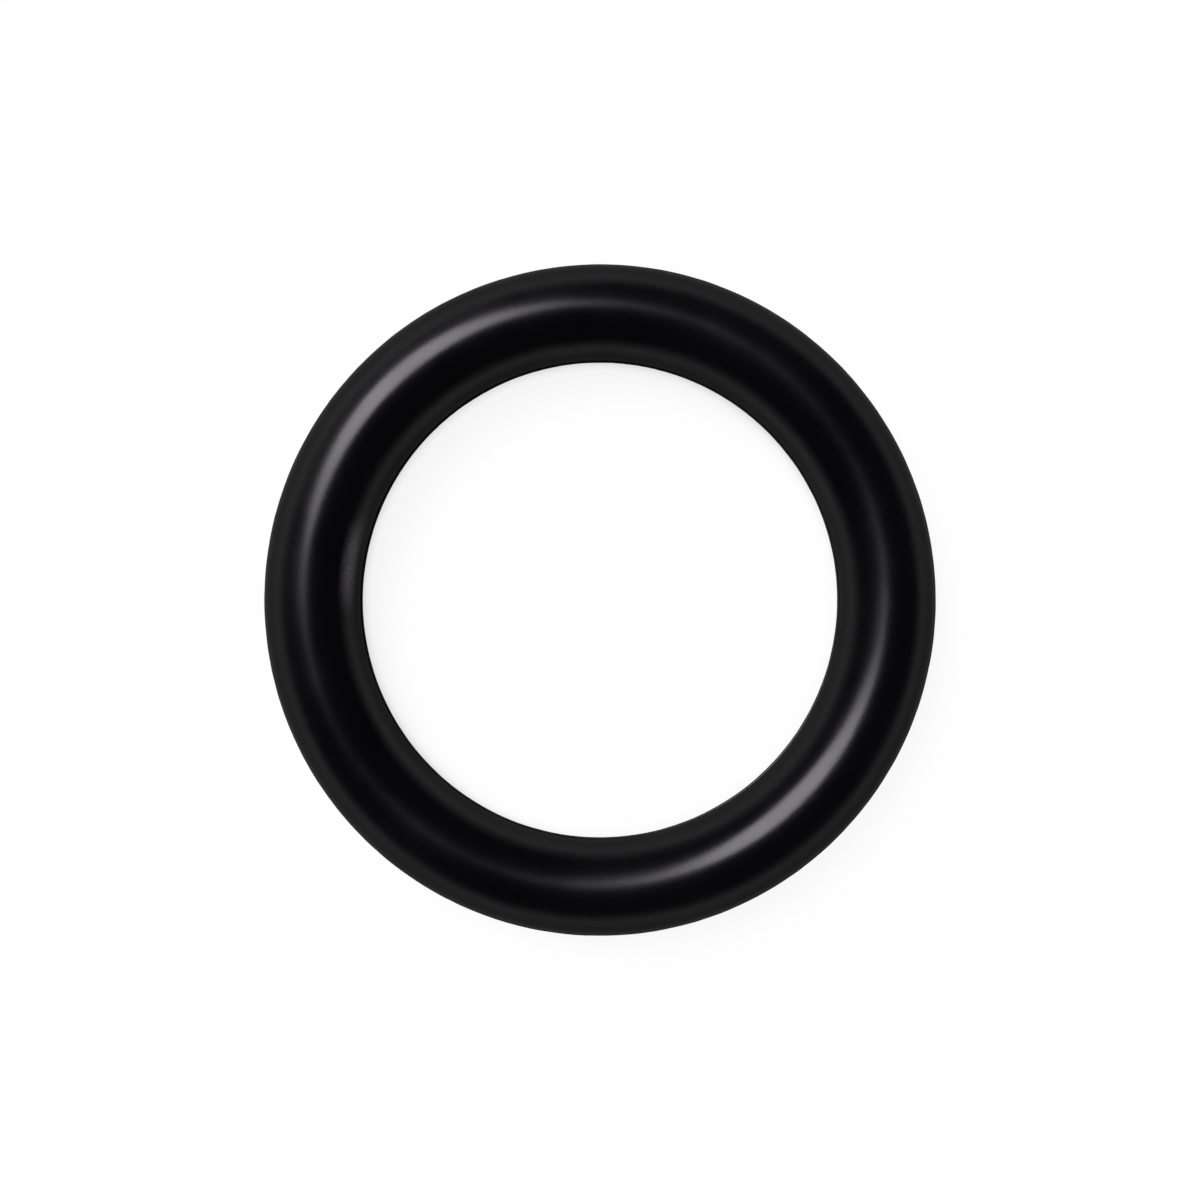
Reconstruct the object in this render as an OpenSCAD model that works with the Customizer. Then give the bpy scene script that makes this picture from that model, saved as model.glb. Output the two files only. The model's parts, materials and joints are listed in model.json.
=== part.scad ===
// Rubber o-ring: a round section turned about the axis of the ring. The two halves of its mould
// meet at mid-height, where a thin trimmed flash stands proud along the inner and outer edges.
// The origin is the centre of the ring at mid-height, and +Z runs along its axis.

/* [Ring] */
// Diameter of the hole, measured on the round section
inner_d = 15; // [6:0.5:60]
// Diameter of the round section
section_d = 3; // [1:0.1:6]

/* [Parting line] */
// How far the trimmed flash stands out from the round section
flash_height = 0.05; // [0.02:0.01:0.1]
// Width of the flat crest that trimming leaves along the flash
crest_width = 0.1; // [0.05:0.01:0.2]
// Angle at which each side of the flash leans in towards its crest
flank_angle = 20; // [0:5:30]

/* [Hidden] */

rubber_black = "#111214";
facets_around_section = 96;
facets_around_ring = 240;

section_r = section_d / 2;
// From the axis of the ring to the centre of its section
mean_r = inner_d / 2 + section_r;
// From the centre of the section to the crest of either flash
crest_r = section_r + flash_height;

// The sides of both flashes run on to the middle of the section, where they meet inside it,
// so one six-sided outline draws the inner and the outer flash.
module parting_line_profile() {
    crest_half = crest_width / 2;
    middle_half = crest_half + crest_r * tan(flank_angle);
    polygon([
        [crest_r, -crest_half],
        [crest_r, crest_half],
        [0, middle_half],
        [-crest_r, crest_half],
        [-crest_r, -crest_half],
        [0, -middle_half]
    ]);
}

module section_profile() {
    circle(r = section_r, $fn = facets_around_section);
    parting_line_profile();
}

module o_ring() {
    color(rubber_black)
        rotate_extrude($fn = facets_around_ring)
            translate([mean_r, 0])
                section_profile();
}

o_ring();
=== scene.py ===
import json
import math
from functools import partial

import bpy
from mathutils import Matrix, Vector, noise


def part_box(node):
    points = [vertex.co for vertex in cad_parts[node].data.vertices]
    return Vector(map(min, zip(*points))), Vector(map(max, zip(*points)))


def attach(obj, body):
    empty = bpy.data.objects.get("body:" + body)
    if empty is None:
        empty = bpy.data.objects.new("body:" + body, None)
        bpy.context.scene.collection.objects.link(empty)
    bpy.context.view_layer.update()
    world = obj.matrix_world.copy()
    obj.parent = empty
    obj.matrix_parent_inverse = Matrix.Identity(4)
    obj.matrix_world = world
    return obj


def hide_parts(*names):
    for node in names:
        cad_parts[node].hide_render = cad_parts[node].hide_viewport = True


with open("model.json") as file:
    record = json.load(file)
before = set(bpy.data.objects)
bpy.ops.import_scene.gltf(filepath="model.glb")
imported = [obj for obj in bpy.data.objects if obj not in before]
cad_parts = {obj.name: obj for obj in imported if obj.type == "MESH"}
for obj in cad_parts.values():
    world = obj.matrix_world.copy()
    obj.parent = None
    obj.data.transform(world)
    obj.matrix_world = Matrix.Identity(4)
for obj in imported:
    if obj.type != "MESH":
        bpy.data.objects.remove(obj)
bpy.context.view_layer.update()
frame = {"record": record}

MM = 0.001
WHITE = (1, 1, 1, 1)

# The ring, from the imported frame

mounts = {mount["name"]: mount["dims"] for mount in frame["record"]["mounts"]}
inner_crest = mounts["inner_edge"]["r_mm"] * MM
outer_crest = mounts["outer_edge"]["r_mm"] * MM
crest_half = mounts["outer_edge"]["length_mm"] * MM / 2
mean_r = (outer_crest + inner_crest) / 2
crest_r = (outer_crest - inner_crest) / 2
section_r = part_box("o_ring")[1].z
flash_height = crest_r - section_r
floor_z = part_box("o_ring")[0].z


# Helpers

# Each seed reads the noise this much further along
SEED_STRIDE = (17.3, -9.1, 4.7)
# The colour sockets of a mix node, whose names its other sockets share
COLOURS_IN = (6, 7)
COLOUR_OUT = 2


def smoothstep(low, high, value):
    t = min(max((value - low) / (high - low), 0), 1)
    return t * t * (3 - 2 * t)


def seeded_noise(place, seed):
    """Smooth noise from about -1 to 1, another one for each seed."""
    return noise.noise(Vector([part + seed * step for part, step in zip(place, SEED_STRIDE)]))


def noise_along(around, waves, seed):
    """Smooth noise along the ring, with about that many waves to a turn and no seam."""
    reach = waves / math.tau
    return seeded_noise((reach * math.cos(around), reach * math.sin(around), 0), seed)


def add_to_scene(name, data):
    thing = bpy.data.objects.new(name, data)
    bpy.context.scene.collection.objects.link(thing)
    return thing


def feed(tree, socket, value):
    """Links an output to the socket, or sets a plain value on it."""
    if isinstance(value, bpy.types.NodeSocket):
        tree.links.new(value, socket)
    else:
        socket.default_value = value


def add_node(tree, kind, **values):
    """A node with these values or links on its named inputs."""
    node = tree.nodes.new(kind)
    for name, value in values.items():
        feed(tree, node.inputs[name.replace("_", " ")], value)
    return node


def math_node(tree, operation, *operands, clamp=False):
    node = add_node(tree, "ShaderNodeMath")
    node.operation = operation
    node.use_clamp = clamp
    for socket, operand in zip(node.inputs, operands):
        feed(tree, socket, operand)
    return node.outputs[0]


def range_node(tree, value, span, onto):
    """Carries value from span smoothly onto another span, and holds it at the ends."""
    node = add_node(tree, "ShaderNodeMapRange", Value=value)
    node.interpolation_type = "SMOOTHSTEP"
    ends = (*span, *onto)
    for name, end in zip(("From Min", "From Max", "To Min", "To Max"), ends):
        feed(tree, node.inputs[name], end)
    return node.outputs["Result"]


def blend_node(tree, share, first, second):
    """The first colour where share is 0, and the second where it is 1."""
    node = add_node(tree, "ShaderNodeMix")
    node.data_type = "RGBA"
    feed(tree, node.inputs[0], share)
    for index, colour in zip(COLOURS_IN, (first, second)):
        feed(tree, node.inputs[index], colour)
    return node.outputs[COLOUR_OUT]


def shader_mix(tree, share, first, second):
    """The first shader where share is 0, and the second where it is 1."""
    node = add_node(tree, "ShaderNodeMixShader")
    for socket, value in zip(node.inputs, (share, first, second)):
        feed(tree, socket, value)
    return node.outputs[0]


# The moulded ring

STEPS_AROUND = 640
# Heights above mid-height at which the flash is drawn, as shares of the crest's half width
FLASH_ROWS = (0, 0.4, 0.75, 0.9, 1.0, 1.1, 1.22, 1.35, 1.55, 1.85, 2.4, 3.4)
ARC_ROWS = 22
# The flash falls from its crest to the round section between these, in the same shares
FLASH_EDGE = (0.85, 1.45)
# The trimming leaves between these shares of the full flash standing
FLASH_LEFT = (0.75, 1.0)
# What is left of that range on average, and the waves to a turn and strengths that vary it
FLASH_MIDDLE = 0.5
FLASH_WAVES = ((9, 0.55), (70, 0.3), (260, 0.3))
# How far the parting line wanders up and down, and its waves to a turn
PARTING_WANDER = 0.006 * MM
WANDER_WAVES = 14
# How much the rubber shrank unevenly, and over what length
UNEVENNESS = 0.006 * MM
UNEVENNESS_LENGTH = 3.0 * MM
# Seeds of the noise, outside and inside where they differ
FLASH_SEEDS = {1: 3, -1: 8}
WANDER_SEEDS = {1: 21, -1: 19}
UNEVENNESS_SEED = 1
# A painted glint: a faint pale patch painted on the inner flank, standing in for a glint there.
# Its middle along the ring and over the section, and how far from there it begins to fade and ends
GLINT_AROUND = math.radians(171.5)
GLINT_ALONG = (math.radians(2.6), math.radians(13))
GLINT_ANGLE = math.radians(145)
GLINT_OVER = (0, math.radians(17))
# The flattened skin of the ring is cut into this many lengths, laid one above the other
MAP_LENGTHS = 2


def quarter_angles():
    """Section angles from the parting plane to the top, close together at the flash."""
    near = [math.asin(share * crest_half / section_r) for share in FLASH_ROWS]
    last = near[-1]
    step = (math.pi / 2 - last) / ARC_ROWS
    return near + [last + step * (k + 1) for k in range(ARC_ROWS)]


def section_angles():
    """Section angles for a full turn. 0 points outwards and 90 degrees up."""
    quarter = quarter_angles()
    half = quarter + [math.pi - a for a in reversed(quarter[:-1])]
    return half + [-a for a in reversed(half[1:-1])]


def flash_left(around, side):
    """How far the trimmed flash stands out at this place. side is 1 outside and -1 inside."""
    share = FLASH_MIDDLE
    for k, (waves, strength) in enumerate(FLASH_WAVES):
        share += strength * noise_along(around, waves, FLASH_SEEDS[side] + k)
    low, high = FLASH_LEFT
    return flash_height * (low + (high - low) * min(max(share, 0), 1))


def section_reach(around, angle, left, wander):
    """Distance from the section's centre to the surface, and how much of it is flash, 0 to 1."""
    height = section_r * math.sin(angle)
    off_crest = abs(height - wander) / crest_half
    flash = 1 - smoothstep(*FLASH_EDGE, off_crest)
    out = mean_r + section_r * math.cos(angle)
    surface = (out * math.cos(around), out * math.sin(around), height)
    place = [part / UNEVENNESS_LENGTH for part in surface]
    shrunk = UNEVENNESS * (1 + seeded_noise(place, UNEVENNESS_SEED)) / 2
    return section_r - shrunk + flash * (left + shrunk), flash


def painted_glint(around, angle):
    """How far this place is inside the painted glint, a pale patch standing in for a glint, 0 to 1.
    """
    along = smoothstep(*GLINT_ALONG, abs(around - GLINT_AROUND))
    over = smoothstep(*GLINT_OVER, abs(angle - GLINT_ANGLE))
    return (1 - along) * (1 - over)


def ring_faces(rows):
    """Four-sided faces between each ring of rows points and the next one around."""
    faces = []
    for i in range(STEPS_AROUND):
        this, following = i * rows, (i + 1) % STEPS_AROUND * rows
        for j in range(rows):
            k = (j + 1) % rows
            faces.append((this + j, following + j, following + k, this + k))
    return faces


def add_shares(mesh, name, shares):
    attribute = mesh.attributes.new(name, "FLOAT", "POINT")
    attribute.data.foreach_set("value", shares)


def add_map(mesh, rows):
    """A map without gaps or overlaps, in which the ring's skin fills the whole square."""
    layer = mesh.uv_layers.new(name="OFBake")
    steps = STEPS_AROUND // MAP_LENGTHS
    places = []
    for face in range(STEPS_AROUND * rows):
        i, j = divmod(face, rows)
        length, step = divmod(i, steps)
        for di, dj in ((0, 0), (1, 0), (1, 1), (0, 1)):
            places += [(step + di) / steps, (length + (j + dj) / rows) / MAP_LENGTHS]
    layer.uv.foreach_set("vector", places)


def build_ring():
    angles = section_angles()
    sides = (1, -1)
    vertices, flash_shares, painted_glint_shares = [], [], []
    for i in range(STEPS_AROUND):
        around = math.tau * i / STEPS_AROUND
        left = {side: flash_left(around, side) for side in sides}
        wander = {
            side: PARTING_WANDER * noise_along(around, WANDER_WAVES, WANDER_SEEDS[side])
            for side in sides
        }
        for angle in angles:
            side = 1 if math.cos(angle) > 0 else -1
            reach, flash = section_reach(around, angle, left[side], wander[side])
            out = mean_r + reach * math.cos(angle)
            up = reach * math.sin(angle)
            vertices.append((out * math.cos(around), out * math.sin(around), up))
            flash_shares.append(flash)
            painted_glint_shares.append(painted_glint(around, angle))
    faces = ring_faces(len(angles))
    mesh = bpy.data.meshes.new("moulded_ring")
    mesh.from_pydata(vertices, [], faces)
    mesh.polygons.foreach_set("use_smooth", [True] * len(faces))
    add_shares(mesh, "flash", flash_shares)
    # Share of the painted glint at each point, kept on the mesh
    add_shares(mesh, "painted_glint", painted_glint_shares)
    add_map(mesh, len(angles))
    return add_to_scene("moulded_ring", mesh)


# Rubber

BLACK = (0.001, 0.001, 0.0015, 1)
BLOOM = (0.0022, 0.0022, 0.0029, 1)
TRIMMED = (0.008, 0.008, 0.009, 1)
# Painted glint: the pale colour of a patch on the inner flank that stands in for a glint
PAINTED_GLINT = (0.1, 0.092, 0.1, 1)
# Each noise has the size of its largest features, how often finer ones are added, and their strength
BLOOM_NOISE = (2.5 * MM, 4, 0.5)
GRAIN_NOISE = (0.065 * MM, 3, 0.6)
LINE_NOISE = (0.05 * MM, 2, 0.5)
NOISE_MIDDLE = 0.5
GRAIN_DEPTH = 0.0015 * MM
LINE_DEPTH = 0.0008 * MM
# Roughness of the skin, how much the bloom and the grain vary it, and that of the trimmed flash
SATIN = 0.215
BLOOM_VARIES = 0.18
GRAIN_VARIES = 0.08
TORN = 0.55
# Seen more and more along its surface, between these shares, the bloomed skin loses its gloss
SLANT = (0.05, 0.6)
HAZY = 0.95
# The painted glint follows the grain: between these heights of it the painted glint grows from part
# to full
GLINT_GRAIN = (0.3, 0.7)
GLINT_GRAIN_SHARE = (0.4, 1)
# Half of the usual reflection, and its colour, a little away from green
SPECULAR_LEVEL = 0.25
TINT = (1, 0.955, 1, 1)


def rubber():
    material = bpy.data.materials.new("black_rubber_moulded")
    material.use_nodes = True
    tree = material.node_tree
    calculate = partial(math_node, tree)
    shader = tree.nodes["Principled BSDF"]

    def noise_node(vector, size, detail, strength):
        kind = "ShaderNodeTexNoise"
        node = add_node(tree, kind, Vector=vector, Scale=1 / size, Detail=detail, Roughness=strength)
        return node.outputs["Fac"]

    def share_node(name):
        node = add_node(tree, "ShaderNodeAttribute")
        node.attribute_name = name
        return node.outputs["Fac"]

    def swing(value, most):
        """Noise from 0 to 1 as a change that is nothing on average."""
        return calculate("MULTIPLY", calculate("SUBTRACT", value, NOISE_MIDDLE), most)

    place = add_node(tree, "ShaderNodeTexCoord").outputs["Object"]
    # Distance from the axis and height: what turning the mould marks runs along the ring
    x, y, z = add_node(tree, "ShaderNodeSeparateXYZ", Vector=place).outputs
    squares = calculate("ADD", calculate("MULTIPLY", x, x), calculate("MULTIPLY", y, y))
    turned = add_node(tree, "ShaderNodeCombineXYZ", X=calculate("SQRT", squares), Z=z).outputs[0]

    trimmed = share_node("flash")
    bloom = noise_node(place, *BLOOM_NOISE)
    grain = noise_node(place, *GRAIN_NOISE)
    lines = noise_node(turned, *LINE_NOISE)

    # Painted glint: a pale patch on the inner flank, broken up by the grain, over the mottled skin
    glint_grain = range_node(tree, grain, GLINT_GRAIN, GLINT_GRAIN_SHARE)
    glint_share = calculate("MULTIPLY", share_node("painted_glint"), glint_grain)
    skin_with_glint = blend_node(tree, glint_share, blend_node(tree, bloom, BLACK, BLOOM), PAINTED_GLINT)
    colour = blend_node(tree, trimmed, skin_with_glint, TRIMMED)

    mottled = calculate("ADD", SATIN, swing(bloom, BLOOM_VARIES))
    satin = calculate("ADD", mottled, swing(grain, GRAIN_VARIES))
    torn = calculate("MULTIPLY", trimmed, TORN - SATIN)
    slant = add_node(tree, "ShaderNodeLayerWeight").outputs["Facing"]
    haze = range_node(tree, slant, SLANT, (0, HAZY - SATIN))
    roughness = calculate("ADD", satin, calculate("ADD", torn, haze), clamp=True)

    grain_height = calculate("MULTIPLY", grain, GRAIN_DEPTH)
    height = calculate("ADD", grain_height, calculate("MULTIPLY", lines, LINE_DEPTH))
    bump = add_node(tree, "ShaderNodeBump", Strength=1, Distance=1, Height=height)

    feed(tree, shader.inputs["Metallic"], 0)
    feed(tree, shader.inputs["Specular IOR Level"], SPECULAR_LEVEL)
    feed(tree, shader.inputs["Specular Tint"], TINT)
    feed(tree, shader.inputs["Base Color"], colour)
    feed(tree, shader.inputs["Roughness"], roughness)
    feed(tree, shader.inputs["Normal"], bump.outputs[0])
    return material


ring = build_ring()
ring.data.materials.append(rubber())
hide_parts("o_ring")
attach(ring, "root")


# Floor and surroundings

FLOOR_SIDE = 6.0
FLOOR_WHITE = (0.98, 0.98, 0.98, 1)
# Share of the floor's look that is plain white instead of its own lit colour: none where the
# ring touches the floor, this much beside the ring, where its shadow still shows, and all of
# it from a few widths of the section away, so that the floor ends without a line
GLOW_BESIDE = 0.9
BESIDE = (0.3 * section_r, section_r)
FAR = (2 * section_r, 8 * section_r)
# Light from all round, for what the lamp leaves dark
FILL = 0.3
CEILING = 0.03
# Sines of the elevations between which the white surroundings end and the dark ceiling begins
WHITE_TO_DARK = (0.02, 0.14)


def seen_directly(tree, kinds):
    """1 where the ray is of one of these kinds, and 0 elsewhere."""
    path = add_node(tree, "ShaderNodeLightPath")
    seen = path.outputs[kinds[0]]
    for kind in kinds[1:]:
        seen = math_node(tree, "MAXIMUM", seen, path.outputs[kind])
    return seen


def floor_material():
    material = bpy.data.materials.new("pale_floor")
    material.use_nodes = True
    tree = material.node_tree
    tree.nodes.clear()
    lit = add_node(tree, "ShaderNodeBsdfDiffuse", Color=FLOOR_WHITE).outputs[0]
    white = add_node(tree, "ShaderNodeEmission", Color=WHITE, Strength=1).outputs[0]

    place = add_node(tree, "ShaderNodeTexCoord").outputs["Object"]
    length = add_node(tree, "ShaderNodeVectorMath")
    length.operation = "LENGTH"
    feed(tree, length.inputs[0], place)
    off_middle = math_node(tree, "SUBTRACT", length.outputs["Value"], mean_r)
    off_contact = math_node(tree, "ABSOLUTE", off_middle)
    beside = range_node(tree, off_contact, BESIDE, (0, GLOW_BESIDE))
    far = range_node(tree, off_contact, FAR, (0, 1 - GLOW_BESIDE))
    glow = math_node(tree, "ADD", beside, far)
    seen = seen_directly(tree, ("Is Camera Ray", "Is Glossy Ray", "Is Transmission Ray"))
    surface = shader_mix(tree, math_node(tree, "MULTIPLY", seen, glow), lit, white)
    add_node(tree, "ShaderNodeOutputMaterial", Surface=surface)
    return material


def build_floor():
    half = FLOOR_SIDE / 2
    corners = [(half * x, half * y, floor_z) for x, y in ((-1, -1), (1, -1), (1, 1), (-1, 1))]
    mesh = bpy.data.meshes.new("floor")
    mesh.from_pydata(corners, [], [(0, 1, 2, 3)])
    mesh.materials.append(floor_material())
    add_to_scene("floor", mesh)


def build_world():
    """Even fill for the object. The camera sees white, and reflections see white up to a ceiling."""
    world = bpy.data.worlds.new("studio")
    bpy.context.scene.world = world
    world.use_nodes = True
    tree = world.node_tree
    tree.nodes.clear()

    def background(strength):
        node = add_node(tree, "ShaderNodeBackground", Color=WHITE, Strength=strength)
        return node.outputs[0]

    towards = add_node(tree, "ShaderNodeTexCoord").outputs["Generated"]
    sine = add_node(tree, "ShaderNodeSeparateXYZ", Vector=towards).outputs["Z"]
    reflected = background(range_node(tree, sine, WHITE_TO_DARK, (1, CEILING)))
    in_gloss = seen_directly(tree, ("Is Glossy Ray",))
    lighting = shader_mix(tree, in_gloss, background(FILL), reflected)
    seen = seen_directly(tree, ("Is Camera Ray", "Is Transmission Ray"))
    surface = shader_mix(tree, seen, lighting, background(1))
    add_node(tree, "ShaderNodeOutputWorld", Surface=surface)


# One oval softbox, up and to the left of the camera

LAMP_BEARING = math.radians(134)
LAMP_TILT = math.radians(29)
LAMP_DISTANCE = 2.0
# Its sides as the ring sees them: across, and from low to high
LAMP_ACROSS = math.radians(24)
LAMP_UPWARDS = math.radians(38)
LAMP_RADIANCE = 12.4


def build_lamp():
    data = bpy.data.lights.new("softbox", "AREA")
    data.shape = "ELLIPSE"
    data.size = 2 * LAMP_DISTANCE * math.tan(LAMP_ACROSS / 2)
    data.size_y = 2 * LAMP_DISTANCE * math.tan(LAMP_UPWARDS / 2)
    area = math.pi / 4 * data.size * data.size_y
    data.energy = LAMP_RADIANCE * math.pi * area
    lamp = add_to_scene("softbox", data)
    towards = Vector((
        math.sin(LAMP_TILT) * math.cos(LAMP_BEARING),
        math.sin(LAMP_TILT) * math.sin(LAMP_BEARING),
        math.cos(LAMP_TILT),
    ))
    lamp.location = towards * LAMP_DISTANCE
    lamp.rotation_mode = "QUATERNION"
    lamp.rotation_quaternion = towards.to_track_quat("Z", "Y")


# Camera, straight above the ring

IMAGE_SIDE = 1200
# Radius of the ring's outer edge in the photograph
OUTER_EDGE_PX = 335.2
LENS = 45
SENSOR = 36
CLIP_START = 1 * MM
CLIP_END = 100


def build_camera():
    """A camera so far up that the ring's round section ends at the outer edge's radius."""
    data = bpy.data.cameras.new("camera")
    data.lens = LENS
    data.sensor_width = SENSOR
    data.clip_start = CLIP_START
    data.clip_end = CLIP_END
    edge = math.atan(OUTER_EDGE_PX / (IMAGE_SIDE / 2) * SENSOR / 2 / LENS)
    distance = (mean_r * math.cos(edge) + section_r) / math.sin(edge)
    camera = add_to_scene("camera", data)
    camera.location = (0, 0, distance)
    bpy.context.scene.camera = camera


build_floor()
build_world()
build_lamp()
build_camera()
bpy.context.scene.view_settings.view_transform = "Standard"
